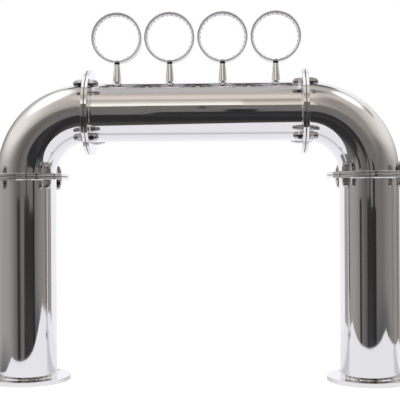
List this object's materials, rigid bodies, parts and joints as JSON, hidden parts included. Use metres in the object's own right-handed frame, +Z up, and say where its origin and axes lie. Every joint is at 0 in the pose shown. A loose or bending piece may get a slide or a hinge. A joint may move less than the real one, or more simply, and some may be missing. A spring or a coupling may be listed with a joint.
{
  "type": "beer tap tower",
  "caption": "Bridge-shaped beer tap tower of polished flanged pipe, with bolted joints, medallion rings on tapered stems and shanks for faucets behind the bar.",
  "frame": {"origin": "on the counter, midway between the two columns", "axes": "+X along the bar to the right as the customers see it, -Y towards the customers, +Y towards the bartender, +Z up"},
  "size_m": [0.754, 0.15, 0.6469],
  "materials": {
    "polished_steel": "mirror-polished stainless steel",
    "ring_steel": "polished stainless steel",
    "fastener_steel": "polished stainless steel",
    "shank_steel": "turned and threaded",
    "gasket_rubber": "matte",
    "bush_nylon": "matte black nylon",
    "strip_silicone": "white coated light strip",
    "fitting_plastic": "moulded acetal",
    "splice_plastic": "moulded",
    "cable_black": "PVC sheath",
    "cooling_line_blue": "satin",
    "beer_line_plastic": "translucent polyethylene",
    "insulation_foam": "closed-cell foam"
  },
  "bodies": {
    "tower": {"left_base_flange": "polished_steel", "left_column_tube": "polished_steel", "left_column_top_flange": "polished_steel", "left_elbow_lower_flange": "polished_steel", "left_elbow_tube": "polished_steel", "left_elbow_upper_flange": "polished_steel", "left_bar_flange": "polished_steel", "left_column_gasket": "gasket_rubber", "left_bar_gasket": "gasket_rubber", "left_column_insulation": "insulation_foam", "right_base_flange": "polished_steel", "right_column_tube": "polished_steel", "right_column_top_flange": "polished_steel", "right_elbow_lower_flange": "polished_steel", "right_elbow_tube": "polished_steel", "right_elbow_upper_flange": "polished_steel", "right_bar_flange": "polished_steel", "right_column_gasket": "gasket_rubber", "right_bar_gasket": "gasket_rubber", "right_column_insulation": "insulation_foam", "bar_tube": "polished_steel", "flange_studs": "fastener_steel", "flange_washers": "fastener_steel", "flange_acorn_nuts": "fastener_steel", "stem_lock_nuts": "fastener_steel", "shank_lock_nuts": "fastener_steel", "swivel_screws": "fastener_steel", "swivel_bushes": "bush_nylon", "shank_collars": "polished_steel", "line_fittings": "fitting_plastic", "led_splices": "splice_plastic", "led_leads": "cable_black", "led_cable": "cable_black", "cooling_line": "cooling_line_blue", "medallion_stem_1": "polished_steel", "faucet_shank_1": "shank_steel", "beer_line_1": "beer_line_plastic", "medallion_stem_2": "polished_steel", "faucet_shank_2": "shank_steel", "beer_line_2": "beer_line_plastic", "medallion_stem_3": "polished_steel", "faucet_shank_3": "shank_steel", "beer_line_3": "beer_line_plastic", "medallion_stem_4": "polished_steel", "faucet_shank_4": "shank_steel", "beer_line_4": "beer_line_plastic"},
    "ring_1": {"medallion_ring_1": "ring_steel", "led_strip_1": "strip_silicone"},
    "ring_2": {"medallion_ring_2": "ring_steel", "led_strip_2": "strip_silicone"},
    "ring_3": {"medallion_ring_3": "ring_steel", "led_strip_3": "strip_silicone"},
    "ring_4": {"medallion_ring_4": "ring_steel", "led_strip_4": "strip_silicone"}
  },
  "joints": [
    {"name": "ring_1_swivel", "type": "hinge", "parent": "tower", "child": "ring_1", "pos_m": [-0.13995, 0, 0.5589], "axis": [0, 0, 1], "range_deg": [-90, 90]},
    {"name": "ring_2_swivel", "type": "hinge", "parent": "tower", "child": "ring_2", "pos_m": [-0.04665, 0, 0.5589], "axis": [0, 0, 1], "range_deg": [-90, 90]},
    {"name": "ring_3_swivel", "type": "hinge", "parent": "tower", "child": "ring_3", "pos_m": [0.04665, 0, 0.5589], "axis": [0, 0, 1], "range_deg": [-90, 90]},
    {"name": "ring_4_swivel", "type": "hinge", "parent": "tower", "child": "ring_4", "pos_m": [0.13995, 0, 0.5589], "axis": [0, 0, 1], "range_deg": [-90, 90]}
  ]
}
